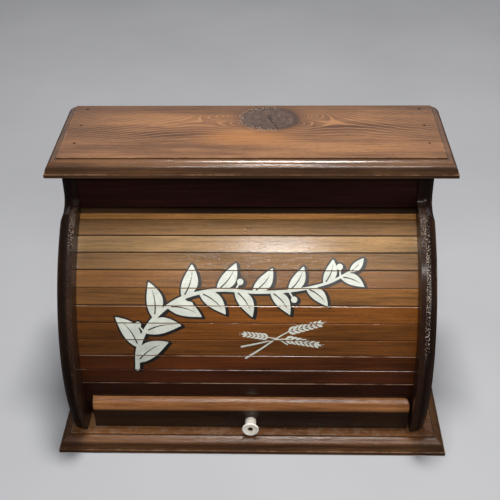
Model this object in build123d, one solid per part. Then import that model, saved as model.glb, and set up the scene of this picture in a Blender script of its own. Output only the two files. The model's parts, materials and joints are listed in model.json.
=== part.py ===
"""Roll-top bread box: a wooden case with a slatted shutter that rolls in curved tracks.

Millimetres. +Z is up and the front faces -Y. The origin is the middle of the underside.
Depth positions are first measured back from the base board's front edge and then
shifted by half of the depth, so that the origin lies in the middle of the base.
"""
from build123d import *
import math
import os

# ---- driving dimensions -------------------------------------------------------------
# case
BASE_WIDTH = 436.0            # base board, left to right
BOX_DEPTH = 254.0             # base board, front to back
BOX_HEIGHT = 310.0            # underside of the base to the top of the top board
BOARD = 18.0                  # thickness of base, top and side boards
END_REVEAL = 17.5             # base board's ends outside the side panels, as a mean
TOP_OVERHANG = 18.5           # top board's ends outside the side panels, as a mean
SIDE_SHIFT = -4.0             # middle between the side panels, from the middle of the base
TOP_REACH = 87.5              # top board's front edge, in front of the shutter's arc centre
NECK_REACH = 80.5             # side panels' upright front edge under the top, likewise
NECK_LENGTH = 34.0            # of that upright edge
NECK_FILLET = 7.0             # hollow corner between shoulder and neck
PANEL_MARGIN = 23.0           # how far the panel's curved edge stands outside the shutter
BACK_THICKNESS = 5.0          # plywood back
REBATE = 6.0                  # how far the back panel reaches into each side panel

# moulded edge of the base, the top and the side panels
MOULD_WIDTH = 12.5            # from the outer edge to the raised face
MOULD_DROP = 1.3              # step under the raised face
MOULD_SHELF = 1.0             # narrow level strip at that step
MOULD_LIP = 1.4               # lip that stands out below the round
LIP_HEIGHT = 4.0              # height of the lip

# fascia under the top
FASCIA_REACH = 78.5           # its front face, in front of the arc's centre
FASCIA_THICKNESS = 10.0
FASCIA_CLEARANCE = 1.7        # between its lower back edge and the shutter

# shutter
ROLL_ROOM = 28.3              # from the top of the arc to the top board
FRONT_REVEAL = 28.3           # from the base's front edge to the front of the arc
ARC_HEIGHT = 89.5             # arc's centre, above the underside
SLAT_COUNT = 14
SLAT_GAP = 0.5                # open joint between two slats
SLAT_THICKNESS = 8.0
SLAT_EASE = 0.3               # small bevel on the slats' outer long edges
SHUTTER_REACH = 70.3          # upper edge of the shutter, in front of the arc's centre
SHUTTER_FOOT = 7.6            # lower edge of the shutter, above the base board
TRACK_DEPTH = 8.0             # how deep the track is cut into a side panel
TRACK_PLAY = 0.4              # play of the slats in the track, on each face
SLAT_END_PLAY = 1.5           # play of the slats' ends in the track, on each side
CANVAS_THICKNESS = 0.8
CANVAS_MARGIN = 12.0          # bare end of a slat between the canvas and the side panel
SKIN_GAP = 0.05               # between the canvas and the slats

# lift rail
RAIL_END_PLAY = 10.5          # at both of its ends together
RAIL_SHIFT = 3.3              # the rail sits this far right of midway between the panels
RAIL_SETBACK = 23.0           # its front face
RAIL_TOP = 58.8               # height of its upper back edge
RAIL_ROUND = 9.8              # height of the round of its upper front edge
RAIL_ARRIS = 1.5              # small round of its lower front edge
RAIL_CORNER = 6.0             # rounded upper corner at its right end
REST_GAP = 0.3                # between parts that only rest on each other

# knob
KNOB_HEIGHT = 28.4            # knob's axis above the underside
KNOB_NECK_RADIUS = 6.4
KNOB_RIM_RADIUS = 9.4
KNOB_LENGTH = 14.0
KNOB_NECK_LENGTH = 6.5        # straight part next to the rail
KNOB_RIM_ROUND = 1.6
KNOB_FLARE_WIDTH = 0.25       # share of the flare's widening that is reached at its middle
KNOB_FLARE_PLACE = 0.55       # share of the flare's length at which that middle lies
KNOB_DISH = 1.4               # depth of the hollow front face
KNOB_DISH_SHARE = 0.8         # share of that depth at the middle of the hollow's slope
KNOB_RECESS_RADIUS = 3.1      # sunk seat of the screw's head
KNOB_RECESS_DEPTH = 4.0

# fasteners
KNOB_SCREW_RADIUS = 1.6
KNOB_SCREW_REACH = 9.0        # length inside the rail
KNOB_SCREW_HEAD = 2.7         # radius of the head
KNOB_HEAD_HEIGHT = 1.8
SHANK_PLAY = 0.1              # round a shank, in its hole
RAIL_SCREW_RADIUS = 1.6
RAIL_SCREW_HEAD = 3.2
RAIL_HEAD_HEIGHT = 1.8
RAIL_SCREW_LENGTH = 13.0
RAIL_SCREW_SPACING = 150.0    # the two outer screws are this far from the middle one
BASE_SCREW_RADIUS = 2.0
BASE_SCREW_HEAD = 4.0
BASE_SCREW_LENGTH = 42.0
BASE_SCREW_INSET = 45.0       # first and last base screw, from the panel's front and back
NAIL_STANDOFF = 10.0          # top nails' rows, outside the inner width
NAIL_RADIUS = 0.9
NAIL_HEAD = 1.5
NAIL_LENGTH = 40.0
NAIL_SUNK = 1.6               # how deep the nails' heads lie under the top's face
NAIL_FRONT_INSET = 33.0       # first nail, behind the front of the top's raised face
NAIL_BACK_INSET = 9.0         # last nail, in front of the back edge
NAIL_COUNT = 3                # nails or screws along one side panel
HEAD_THICKNESS = 1.0
TACK_RADIUS = 0.7
TACK_HEAD = 2.2
TACK_LENGTH = 13.0
TACK_COUNT = 4                # tacks along one side of the back
TACK_INSET = 30.0
FASCIA_NAIL_LENGTH = 38.0
FASCIA_NAIL_SPACING = 22.0
FASCIA_NAIL_SUNK = 4.0        # under the panels' outer faces, so the heads clear the round

# ---- worked out from the sizes above ------------------------------------------------
FRONT = -BOX_DEPTH / 2
BACK = BOX_DEPTH / 2
UNDER_TOP = BOX_HEIGHT - BOARD
INNER_WIDTH = BASE_WIDTH - 2 * (BOARD + END_REVEAL)
TOP_WIDTH = INNER_WIDTH + 2 * (BOARD + TOP_OVERHANG)
LEFT_FACE = SIDE_SHIFT - INNER_WIDTH / 2
RIGHT_FACE = SIDE_SHIFT + INNER_WIDTH / 2
PANEL_MIDDLES = (LEFT_FACE - BOARD / 2, RIGHT_FACE + BOARD / 2)
ARC_RADIUS = UNDER_TOP - ARC_HEIGHT - ROLL_ROOM
ARC_Y = FRONT + FRONT_REVEAL + ARC_RADIUS
ARC_Z = ARC_HEIGHT
TOP_Y = ARC_Y - TOP_REACH
NECK_Y = ARC_Y - NECK_REACH
SHOULDER_HEIGHT = UNDER_TOP - NECK_LENGTH
FASCIA_Y = ARC_Y - FASCIA_REACH
FASCIA_DEPTH = FASCIA_REACH - FASCIA_THICKNESS
FASCIA_BOTTOM = ARC_Z + math.sqrt(ARC_RADIUS ** 2 - FASCIA_DEPTH ** 2) + FASCIA_CLEARANCE
RAIL_Y = FRONT + RAIL_SETBACK
RAIL_X = SIDE_SHIFT + RAIL_SHIFT
RAIL_LENGTH = INNER_WIDTH - RAIL_END_PLAY
NAIL_LINE = INNER_WIDTH / 2 + NAIL_STANDOFF
PANEL_RADIUS = ARC_RADIUS + PANEL_MARGIN
TOP_SLAT_ANGLE = math.degrees(math.acos(SHUTTER_REACH / ARC_RADIUS))
BOTTOM_SLAT_ANGLE = math.degrees(math.asin((BOARD + SHUTTER_FOOT - ARC_Z) / ARC_RADIUS))
SLAT_STEP = (TOP_SLAT_ANGLE - BOTTOM_SLAT_ANGLE) / SLAT_COUNT
SLAT_PITCH = ARC_RADIUS * math.radians(SLAT_STEP)
SLAT_INNER = ARC_RADIUS * math.cos(math.radians(SLAT_STEP / 2)) - SLAT_THICKNESS
TRACK_OUTER = ARC_RADIUS + TRACK_PLAY
TRACK_INNER = SLAT_INNER - TRACK_PLAY
SLAT_REACH = TRACK_DEPTH - SLAT_END_PLAY
BACK_FACE = BACK - BACK_THICKNESS
CUT = 5.0                     # how far a cutter runs past the wood
QUARTER_TURN = 90.0           # from the arc's level front to straight above or below its centre


def arc_point(radius, angle):
    """Side-view point (y, z) on a circle about the arc's centre.

    The angle is 0 at the level front and 90 at the top.
    """
    turn = math.radians(angle)
    return ARC_Y - radius * math.cos(turn), ARC_Z + radius * math.sin(turn)


def side_face(points):
    """Closed face from side-view points (y, z), in the plane x = 0."""
    corners = [Vector(0, y, z) for y, z in points]
    return make_face(Polyline(*corners, close=True))


def prism(face, x_low, x_high):
    """Solid that runs from x_low to x_high with the given side-view face."""
    return extrude(Pos(x_low, 0, 0) * face, amount=x_high - x_low, dir=(1, 0, 0))


def block(x_low, x_high, y_low, y_high, z_low, z_high):
    size = Box(x_high - x_low, y_high - y_low, z_high - z_low)
    return Pos((x_low + x_high) / 2, (y_low + y_high) / 2, (z_low + z_high) / 2) * size


def rod(radius, start, end):
    """Round bar from one point to another."""
    axis = Vector(*end) - Vector(*start)
    return Plane(origin=start, z_dir=axis) * Cylinder(
        radius, axis.length, align=(Align.CENTER, Align.CENTER, Align.MIN))


def arc_sector(radius, start, end):
    """Side-view face of a pie slice about the arc's centre."""
    middle = (start + end) / 2
    centre = Vector(0, ARC_Y, ARC_Z)
    first, through, last = [Vector(0, *arc_point(radius, a)) for a in (start, middle, end)]
    return make_face([Line(centre, first), ThreePointArc(first, through, last), Line(last, centre)])


# ---- boards -------------------------------------------------------------------------
def mould_profile(reach, direction):
    """Half outline of a moulded board, from the top middle round to the underside's middle.

    Points are (across, height); direction is -1 for the low side and 1 for the high side.
    Returns the points before the round, a point on the round and the points after it.
    """
    round_outer = reach - MOULD_LIP
    round_inner = reach - MOULD_WIDTH + MOULD_SHELF
    step = BOARD - MOULD_DROP
    flat = [(0, BOARD), (reach - MOULD_WIDTH, BOARD), (reach - MOULD_WIDTH, step), (round_inner, step)]
    bend = 1 / math.sqrt(2)
    middle = (round_inner + (round_outer - round_inner) * bend,
              LIP_HEIGHT + (step - LIP_HEIGHT) * bend)
    lower = [(round_outer, LIP_HEIGHT), (reach, LIP_HEIGHT), (reach, 0), (0, 0)]
    return ([(direction * a, h) for a, h in flat],
            (direction * middle[0], middle[1]),
            [(direction * a, h) for a, h in lower])


def mould_face(reach, direction, place):
    """Face of half a moulded board; place turns (across, height) into a point."""
    flat, middle, lower = mould_profile(reach, direction)
    edges = [Polyline(*[place(p) for p in flat])]
    edges.append(ThreePointArc(place(flat[-1]), place(middle), place(lower[0])))
    edges.append(Polyline(*[place(p) for p in lower]))
    edges.append(Line(place(lower[-1]), place(flat[0])))
    return make_face(edges)


def moulded_board(width, front, back):
    """Board at z = 0 with a moulded upper edge at its front and both ends, square at the back."""
    ends = []
    for direction in (-1, 1):
        face = mould_face(width / 2, direction, lambda p: Vector(p[0], front, p[1]))
        ends.append(extrude(face, amount=back - front, dir=(0, 1, 0)))
    along = ends[0] + ends[1]
    nose = mould_face(back - front, -1, lambda p: Vector(-width / 2, back + p[0], p[1]))
    return along & extrude(nose, amount=width, dir=(1, 0, 0))


def base_screw_places():
    """Points on the underside of the base, under the middle of each side panel."""
    first = FRONT + BASE_SCREW_INSET
    last = BACK - BASE_SCREW_INSET
    places = []
    for x in PANEL_MIDDLES:
        for i in range(NAIL_COUNT):
            places.append((x, first + (last - first) * i / (NAIL_COUNT - 1), 0.0))
    return places


def base_screw(place, play=0.0):
    """Countersunk wood screw driven up through the base into a side panel."""
    x, y, z = place
    head_height = BASE_SCREW_HEAD - BASE_SCREW_RADIUS
    head = Pos(x, y, z + head_height / 2) * Cone(
        BASE_SCREW_HEAD + play, BASE_SCREW_RADIUS + play, head_height)
    return head + rod(BASE_SCREW_RADIUS + play, place, (x, y, z + BASE_SCREW_LENGTH + play))


def base_board():
    board = moulded_board(BASE_WIDTH, FRONT, BACK)
    for place in base_screw_places():
        board -= base_screw(place, SHANK_PLAY)
    return board


def top_nail_places():
    """Points on the top face, over the side panels."""
    first = TOP_Y + MOULD_WIDTH + NAIL_FRONT_INSET
    last = BACK - NAIL_BACK_INSET
    places = []
    for x in (-NAIL_LINE, NAIL_LINE):
        for i in range(NAIL_COUNT):
            places.append((x, first + (last - first) * i / (NAIL_COUNT - 1), BOX_HEIGHT))
    return places


def nail(start, direction, length, head_radius, shank_radius):
    """Flat-headed nail whose head's outer face is centred on start."""
    neck = start + direction * HEAD_THICKNESS
    tip = start + direction * length
    return rod(head_radius, start, neck) + rod(shank_radius, neck, tip)


def nail_hole(start, direction, length, head_radius, shank_radius, sunk):
    """Room for a nail, open to the outside above its head."""
    outside = start - direction * (sunk + CUT)
    neck = start + direction * (HEAD_THICKNESS + SHANK_PLAY)
    tip = start + direction * (length + SHANK_PLAY)
    return (rod(head_radius + SHANK_PLAY, outside, neck)
            + rod(shank_radius + SHANK_PLAY, start, tip))


def top_nail_set():
    """Start point of every nail in the top board."""
    return [Vector(x, y, z - NAIL_SUNK) for x, y, z in top_nail_places()]


def top_board():
    board = Pos(0, 0, UNDER_TOP) * moulded_board(TOP_WIDTH, TOP_Y, BACK)
    for start in top_nail_set():
        board -= nail_hole(start, Vector(0, 0, -1), NAIL_LENGTH, NAIL_HEAD, NAIL_RADIUS, NAIL_SUNK)
    return board


def fascia_nail_set():
    """Start point and direction of every nail that holds the fascia's ends."""
    y = FASCIA_Y + FASCIA_THICKNESS / 2
    middle = (FASCIA_BOTTOM + UNDER_TOP) / 2
    nails = []
    left = LEFT_FACE - BOARD + FASCIA_NAIL_SUNK
    right = RIGHT_FACE + BOARD - FASCIA_NAIL_SUNK
    for z in (middle - FASCIA_NAIL_SPACING / 2, middle + FASCIA_NAIL_SPACING / 2):
        nails.append((Vector(left, y, z), Vector(1, 0, 0)))
        nails.append((Vector(right, y, z), Vector(-1, 0, 0)))
    return nails


def fascia_board():
    back = FASCIA_Y + FASCIA_THICKNESS
    board = block(LEFT_FACE, RIGHT_FACE, FASCIA_Y, back, FASCIA_BOTTOM, UNDER_TOP)
    for start, direction in fascia_nail_set():
        board -= nail_hole(start, direction, FASCIA_NAIL_LENGTH, NAIL_HEAD, NAIL_RADIUS, FASCIA_NAIL_SUNK)
    return board


def tack_set():
    """Start point of every tack in the back panel."""
    first = BOARD + TACK_INSET
    last = UNDER_TOP - TACK_INSET
    tacks = []
    for x in (LEFT_FACE - REBATE / 2, RIGHT_FACE + REBATE / 2):
        for i in range(TACK_COUNT):
            tacks.append(Vector(x, BACK, first + (last - first) * i / (TACK_COUNT - 1)))
    return tacks


def back_panel():
    board = block(LEFT_FACE - REBATE, RIGHT_FACE + REBATE, BACK_FACE, BACK, BOARD, UNDER_TOP)
    for start in tack_set():
        board -= nail_hole(start, Vector(0, -1, 0), TACK_LENGTH, TACK_HEAD, TACK_RADIUS, 0)
    return board


def panel_outline(inset):
    """Side view of a side panel; inset draws its front edge further in all along."""
    radius = PANEL_RADIUS - inset
    shoulder = SHOULDER_HEIGHT - inset
    foot_angle = math.degrees(math.asin((BOARD - ARC_Z) / radius))
    end_angle = math.degrees(math.asin((shoulder - ARC_Z) / radius))
    foot = Vector(0, *arc_point(radius, foot_angle))
    middle = Vector(0, *arc_point(radius, (foot_angle + end_angle) / 2))
    end = Vector(0, *arc_point(radius, end_angle))
    neck = NECK_Y + inset
    hollow = NECK_FILLET + inset
    bend = hollow * (1 - 1 / math.sqrt(2))
    hollow_start = Vector(0, neck - hollow, shoulder)
    hollow_middle = Vector(0, neck - bend, shoulder + bend)
    hollow_end = Vector(0, neck, shoulder + hollow)
    upper = [hollow_end, (0, neck, UNDER_TOP), (0, BACK, UNDER_TOP), (0, BACK, BOARD), foot]
    return [
        ThreePointArc(foot, middle, end),
        Line(end, hollow_start),
        ThreePointArc(hollow_start, hollow_middle, hollow_end),
        Polyline(*upper),
    ]


def track_cut():
    """Curved slot for the slats' ends, from the base to the back panel, at x = 0."""
    low = -QUARTER_TURN
    high = QUARTER_TURN + math.degrees(math.asin((BACK - ARC_Y) / TRACK_INNER)) + SLAT_STEP
    ring = arc_sector(TRACK_OUTER, low, high) - arc_sector(TRACK_INNER, low - CUT, high + CUT)
    return ring


def side_panel(side):
    """Side panel with a moulded front edge, a track for the slats and a rebate for the back.

    side is -1 on the left and 1 on the right. The edge has the boards' moulding: a flat
    band at the inner face, a small step, a round, and a lip at the outer face.
    """
    band = BOARD - MOULD_WIDTH
    lip = BOARD - MOULD_LIP
    rounding = MOULD_WIDTH - MOULD_LIP - MOULD_SHELF
    inner_layer = prism(make_face(panel_outline(0)), 0, band)
    round_layer = prism(make_face(panel_outline(MOULD_DROP)), band, lip)
    lip_layer = prism(make_face(panel_outline(MOULD_DROP + rounding)), lip, BOARD)
    front_edges = [
        e for e in round_layer.edges().filter_by_position(Axis.X, lip - 0.01, lip + 0.01)
        if e.center().Y < BACK_FACE - CUT and not on_level_edge(e)
    ]
    panel = inner_layer + fillet(front_edges, rounding) + lip_layer
    panel -= prism(track_cut(), -CUT, TRACK_DEPTH)
    panel -= block(-CUT, REBATE, BACK_FACE, BACK + CUT, 0, BOX_HEIGHT)
    if side < 0:
        panel = mirror(panel, about=Plane.YZ)
    panel = Pos(LEFT_FACE if side < 0 else RIGHT_FACE, 0, 0) * panel
    for place in base_screw_places():
        if place[0] * side > 0:
            panel -= base_screw(place, SHANK_PLAY)
    for start in top_nail_set():
        if start.X * side > 0:
            panel -= nail_hole(start, Vector(0, 0, -1), NAIL_LENGTH, NAIL_HEAD, NAIL_RADIUS, NAIL_SUNK)
    for start, direction in fascia_nail_set():
        if start.X * side > 0:
            panel -= nail_hole(start, direction, FASCIA_NAIL_LENGTH, NAIL_HEAD, NAIL_RADIUS,
                               FASCIA_NAIL_SUNK)
    for start in tack_set():
        if start.X * side > 0:
            panel -= nail_hole(start, Vector(0, -1, 0), TACK_LENGTH, TACK_HEAD, TACK_RADIUS, 0)
    return panel


def on_level_edge(edge):
    """True for the straight top and bottom edges of a side panel."""
    height = edge.center().Z
    level = abs((edge @ 0).Z - (edge @ 1).Z) < 0.01
    at_end = abs(height - BOARD) < 0.01 or abs(height - UNDER_TOP) < 0.01
    return level and at_end


# ---- shutter ------------------------------------------------------------------------
def slat_outline(index):
    """Side view (y, z) of slat number index, counted from the top.

    Its long edges lie along the arc's radii, so the joints are as wide inside as outside.
    """
    middle = TOP_SLAT_ANGLE - (index + 0.5) * SLAT_STEP
    half = (SLAT_PITCH - SLAT_GAP) / 2
    face = SLAT_INNER + SLAT_THICKNESS
    back = SLAT_INNER
    back_half = (SLAT_PITCH * SLAT_INNER / ARC_RADIUS - SLAT_GAP) / 2
    turn = math.radians(middle)
    out = (-math.cos(turn), math.sin(turn))
    up = (math.sin(turn), math.cos(turn))
    outline = [(back, -back_half), (face - SLAT_EASE, -half), (face, -half + SLAT_EASE),
               (face, half - SLAT_EASE), (face - SLAT_EASE, half), (back, back_half)]
    return [(ARC_Y + r * out[0] + s * up[0], ARC_Z + r * out[1] + s * up[1]) for r, s in outline]


def rail_screw_set():
    """Start point and direction of the screws that hold the rail, from inside the slats."""
    angle = TOP_SLAT_ANGLE - (SLAT_COUNT - 1.5) * SLAT_STEP
    turn = math.radians(angle)
    y, z = arc_point(SLAT_INNER, angle)
    direction = Vector(0, -math.cos(turn), math.sin(turn))
    screws = []
    for x in (-RAIL_SCREW_SPACING, 0, RAIL_SCREW_SPACING):
        screws.append((Vector(RAIL_X + x, y, z), direction))
    return screws


def rail_screw(start, direction, play=0.0):
    """Countersunk screw from a slat's inner face into the rail."""
    head = Plane(origin=start, z_dir=direction) * Cone(
        RAIL_SCREW_HEAD + play, RAIL_SCREW_RADIUS + play, RAIL_HEAD_HEIGHT,
        align=(Align.CENTER, Align.CENTER, Align.MIN))
    return head + rod(RAIL_SCREW_RADIUS + play, start, start + direction * (RAIL_SCREW_LENGTH + play))


def slat(index):
    outline = side_face(slat_outline(index))
    piece = prism(outline, LEFT_FACE - SLAT_REACH, RIGHT_FACE + SLAT_REACH)
    if index == SLAT_COUNT - 2:
        for start, direction in rail_screw_set():
            piece -= rail_screw(start, direction, SHANK_PLAY)
    return piece


def canvas_backing():
    """Cloth glued across the inner faces of all slats."""
    outer = SLAT_INNER - SKIN_GAP
    low = BOTTOM_SLAT_ANGLE + SLAT_STEP / 4
    high = TOP_SLAT_ANGLE - SLAT_STEP / 4
    ring = arc_sector(outer, low, high) - arc_sector(outer - CANVAS_THICKNESS, low - CUT, high + CUT)
    cloth = prism(ring, LEFT_FACE + CANVAS_MARGIN, RIGHT_FACE - CANVAS_MARGIN)
    for start, direction in rail_screw_set():
        cloth -= rod(RAIL_SCREW_HEAD + REST_GAP, start - direction * CUT, start + direction)
    return cloth


def knob_centre():
    """Middle of the knob's foot, on the rail's front face."""
    return Vector(RAIL_X, RAIL_Y, KNOB_HEIGHT)


def knob_screw(play=0.0):
    """Screw through the knob's middle into the rail; its head sits in the knob's recess."""
    foot = knob_centre()
    outward = Vector(0, -1, 0)
    seat = foot + outward * (KNOB_LENGTH - KNOB_RECESS_DEPTH)
    head = rod(KNOB_SCREW_HEAD + play, seat, seat + outward * KNOB_HEAD_HEIGHT)
    shank = rod(KNOB_SCREW_RADIUS + play, foot - outward * (KNOB_SCREW_REACH + play), seat)
    return head + shank


def knob():
    """Waisted round knob with a rolled rim and a dished front, turned about its axis."""
    rim_centre = KNOB_LENGTH - KNOB_RIM_ROUND
    rim_radius = KNOB_RIM_RADIUS - KNOB_RIM_ROUND
    neck_end = (KNOB_NECK_RADIUS, KNOB_NECK_LENGTH)
    rim_back = (KNOB_RIM_RADIUS, rim_centre)
    rim_front = (rim_radius, KNOB_LENGTH)
    rim_middle = (rim_radius + KNOB_RIM_ROUND / math.sqrt(2), rim_centre + KNOB_RIM_ROUND / math.sqrt(2))
    flare_middle = (KNOB_NECK_RADIUS + KNOB_FLARE_WIDTH * (KNOB_RIM_RADIUS - KNOB_NECK_RADIUS),
                    KNOB_NECK_LENGTH + KNOB_FLARE_PLACE * (rim_centre - KNOB_NECK_LENGTH))
    dish_end = (KNOB_RECESS_RADIUS, KNOB_LENGTH - KNOB_DISH)
    dish_middle = ((rim_radius + KNOB_RECESS_RADIUS) / 2, KNOB_LENGTH - KNOB_DISH_SHARE * KNOB_DISH)
    recess_floor = KNOB_LENGTH - KNOB_RECESS_DEPTH
    with BuildSketch(Plane.XZ) as section:
        with BuildLine():
            Polyline((0, 0), (KNOB_NECK_RADIUS, 0), neck_end)
            ThreePointArc(neck_end, flare_middle, rim_back)
            ThreePointArc(rim_back, rim_middle, rim_front)
            ThreePointArc(rim_front, dish_middle, dish_end)
            Polyline(dish_end, (KNOB_RECESS_RADIUS, recess_floor), (0, recess_floor), (0, 0))
        make_face()
    turned = revolve(section.sketch, axis=Axis.Z)
    piece = Plane(origin=knob_centre(), z_dir=(0, -1, 0)) * turned
    shank = rod(KNOB_SCREW_RADIUS + SHANK_PLAY, knob_centre() + Vector(0, CUT, 0),
                knob_centre() - Vector(0, KNOB_LENGTH, 0))
    return piece - shank


def corner_waste(x_end, z_top):
    """Wood that is cut away to round a board's upper right corner in front view."""
    corner = block(x_end - RAIL_CORNER, x_end + CUT, FRONT, 0, z_top - RAIL_CORNER, z_top + CUT)
    x_axis = x_end - RAIL_CORNER
    z_axis = z_top - RAIL_CORNER
    return corner - rod(RAIL_CORNER, (x_axis, FRONT - CUT, z_axis), (x_axis, CUT, z_axis))


def lift_rail():
    """Thick bottom rail in front of the lowest slats, rounded along its upper front edge."""
    bottom = BOARD + REST_GAP
    outer = ARC_RADIUS + REST_GAP
    top_angle = math.degrees(math.asin((RAIL_TOP - ARC_Z) / outer))
    foot_angle = math.degrees(math.asin((bottom - ARC_Z) / outer))
    back_top = arc_point(outer, top_angle)
    back_middle = arc_point(outer, (top_angle + foot_angle) / 2)
    back_foot = arc_point(outer, foot_angle)
    depth = back_top[0] - RAIL_Y
    radius = (depth ** 2 + RAIL_ROUND ** 2) / (2 * depth)
    half_turn = math.atan2(RAIL_ROUND, radius - depth) / 2
    edges = [
        ThreePointArc(Vector(0, *back_top), Vector(0, *back_middle), Vector(0, *back_foot)),
        Polyline(Vector(0, *back_foot), (0, RAIL_Y, bottom), (0, RAIL_Y, RAIL_TOP - RAIL_ROUND)),
    ]
    front_top = (0, RAIL_Y, RAIL_TOP - RAIL_ROUND)
    crown = (0, back_top[0], RAIL_TOP)
    crown_middle = (0, RAIL_Y + radius * (1 - math.cos(half_turn)),
                    RAIL_TOP - RAIL_ROUND + radius * math.sin(half_turn))
    edges.append(ThreePointArc(front_top, crown_middle, crown))
    low = RAIL_X - RAIL_LENGTH / 2
    rail = prism(make_face(edges), low, low + RAIL_LENGTH)
    lower_front = [
        e for e in rail.edges().filter_by(Axis.X)
        if abs(e.center().Y - RAIL_Y) < 0.01 and abs(e.center().Z - bottom) < 0.01
    ]
    rail = fillet(lower_front, RAIL_ARRIS)
    rail -= corner_waste(low + RAIL_LENGTH, RAIL_TOP)
    rail -= knob_screw(SHANK_PLAY)
    for start, direction in rail_screw_set():
        rail -= rail_screw(start, direction, SHANK_PLAY)
    return rail


def group(pieces):
    """Several separate solids kept in one file."""
    return Compound(children=pieces)


def save(piece, name):
    export_step(piece, os.path.join("parts", name + ".step"))


os.makedirs("parts", exist_ok=True)

save(base_board(), "base_board")
save(side_panel(-1), "side_panel_left")
save(side_panel(1), "side_panel_right")
save(top_board(), "top_board")
save(fascia_board(), "fascia_board")
save(back_panel(), "back_panel")
for number in range(SLAT_COUNT):
    save(slat(number), f"slat_{number + 1:02d}")
save(canvas_backing(), "canvas_backing")
save(lift_rail(), "lift_rail")
save(knob(), "knob")
save(knob_screw(), "knob_screw")
save(group([rail_screw(*screw) for screw in rail_screw_set()]), "rail_screws")
save(group([base_screw(place) for place in base_screw_places()]), "base_screws")
down = Vector(0, 0, -1)
save(group([nail(s, down, NAIL_LENGTH, NAIL_HEAD, NAIL_RADIUS) for s in top_nail_set()]), "top_nails")
save(group([nail(s, d, FASCIA_NAIL_LENGTH, NAIL_HEAD, NAIL_RADIUS) for s, d in fascia_nail_set()]),
     "fascia_nails")
inward = Vector(0, -1, 0)
save(group([nail(s, inward, TACK_LENGTH, TACK_HEAD, TACK_RADIUS) for s in tack_set()]), "back_tacks")
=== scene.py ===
"""Looks of the roll-top bread box: stained wood, painted ornament, porcelain knob.

Metres, in the same frame as the solids: +Z up, the front faces -Y. The ornament is drawn
in millimetres on the unrolled shutter: x to the right, s up along the slats' faces.
"""

import json
import math
import random

import bpy
import numpy as np
from mathutils import Matrix, Vector


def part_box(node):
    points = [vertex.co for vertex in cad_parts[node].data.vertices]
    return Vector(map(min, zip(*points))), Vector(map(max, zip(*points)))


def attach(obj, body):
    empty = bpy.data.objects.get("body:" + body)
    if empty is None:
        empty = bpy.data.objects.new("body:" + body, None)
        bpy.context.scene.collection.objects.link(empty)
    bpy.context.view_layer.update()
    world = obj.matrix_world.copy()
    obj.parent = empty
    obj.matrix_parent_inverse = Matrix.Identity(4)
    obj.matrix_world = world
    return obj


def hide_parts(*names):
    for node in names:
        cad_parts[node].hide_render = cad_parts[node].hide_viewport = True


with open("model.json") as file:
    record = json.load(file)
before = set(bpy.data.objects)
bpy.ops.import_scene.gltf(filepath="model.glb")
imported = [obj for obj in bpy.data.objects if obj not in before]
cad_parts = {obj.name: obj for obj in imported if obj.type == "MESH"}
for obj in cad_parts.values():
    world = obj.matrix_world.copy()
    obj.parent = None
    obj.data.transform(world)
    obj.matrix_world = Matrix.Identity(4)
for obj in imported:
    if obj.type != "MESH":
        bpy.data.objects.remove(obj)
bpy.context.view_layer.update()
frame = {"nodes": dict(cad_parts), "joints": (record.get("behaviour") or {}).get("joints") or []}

# ---- sizes ---------------------------------------------------------------------------
MM = 0.001
ARC_Y, ARC_Z = frame["joints"][0]["pos_m"][1:]     # axis that the shutter turns about
ARC_RADIUS = 174.2 * MM
SLAT_COUNT = 14
SLAT_PITCH = 19.05 * MM
SLAT_GAP = 0.5 * MM
SLAT_THICKNESS = 8.0 * MM
SLAT_EASE = 0.3 * MM            # rounding of the slats' edges, which the paint leaves free
TOP_SLAT_ANGLE = 66.2           # degrees from the level to the uppermost slat's upper edge
SLAT_STEP = math.degrees(SLAT_PITCH / ARC_RADIUS)
SLAT_INNER = ARC_RADIUS * math.cos(math.radians(SLAT_STEP / 2)) - SLAT_THICKNESS
SLAT_FACE = SLAT_INNER + SLAT_THICKNESS
S_PER_DEGREE = SLAT_PITCH / MM / SLAT_STEP          # millimetres of s for one degree of the arc
PANEL_RADIUS = ARC_RADIUS + 23.0 * MM
MOULD_WIDTH = 12.5 * MM         # of the base's and the top's moulding
MOULD_LIP = 1.4 * MM
LIP_HEIGHT = 4.0 * MM

CLOTH_STEPS = 8                 # rows of points for each slat
CLOTH_COLUMNS = 60
CLOTH_END = 0.25                # how far past the end slats' middles it reaches, in pitches
CLOTH_THICKNESS = 0.0007
CLOTH_PROUD = 0.00005           # of its inner face, from the slats' inner faces
CLOTH_SAG = 0.0003              # how much farther it stands proud at each joint
FOLD_START, FOLD_WIDTH = 0.38, 0.12     # from a slat's middle, in pitches
THREAD = 0.0011                 # from one thread to the next but one

FIRST_COAT = 0.00001            # gap between the slats and the paint on them
SECOND_COAT = 0.00006           # the same for white paint that lies over black
OUTLINE = 1.8                   # width of the branch's black outline, in millimetres
SHADOW = np.array([2.6, -1.4])  # where its painted shadow falls

FLOOR_REACH = 6.0
FLOOR_HEIGHT = -0.0002

CAMERA_PLACE = (0.0256, -0.8354, 0.7659)
CAMERA_PITCH = 34.45            # degrees down from the level
CAMERA_YAW = -1.88
CAMERA_ROLL = 0.90
CAMERA_FOCAL = 900.0            # in pixels
PICTURE_WIDTH = 500             # in pixels
SENSOR_WIDTH = 36.0


def slat_angle(index):
    """Degrees from the level to the middle of slat number index."""
    return TOP_SLAT_ANGLE - (index + 0.5) * SLAT_STEP


# ---- nodes ---------------------------------------------------------------------------
FILM_SHARE = 0.22               # lacquer fills most of the grain
CRACKLED_SHARE = 0.8            # old lacquer doesn't
EVEN = (1, 1, 1)                # a pattern that isn't drawn out along any axis
MIX_FIRST, MIX_SECOND, MIX_COLOUR = 6, 7, 2         # colour sockets of the mix node


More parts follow.
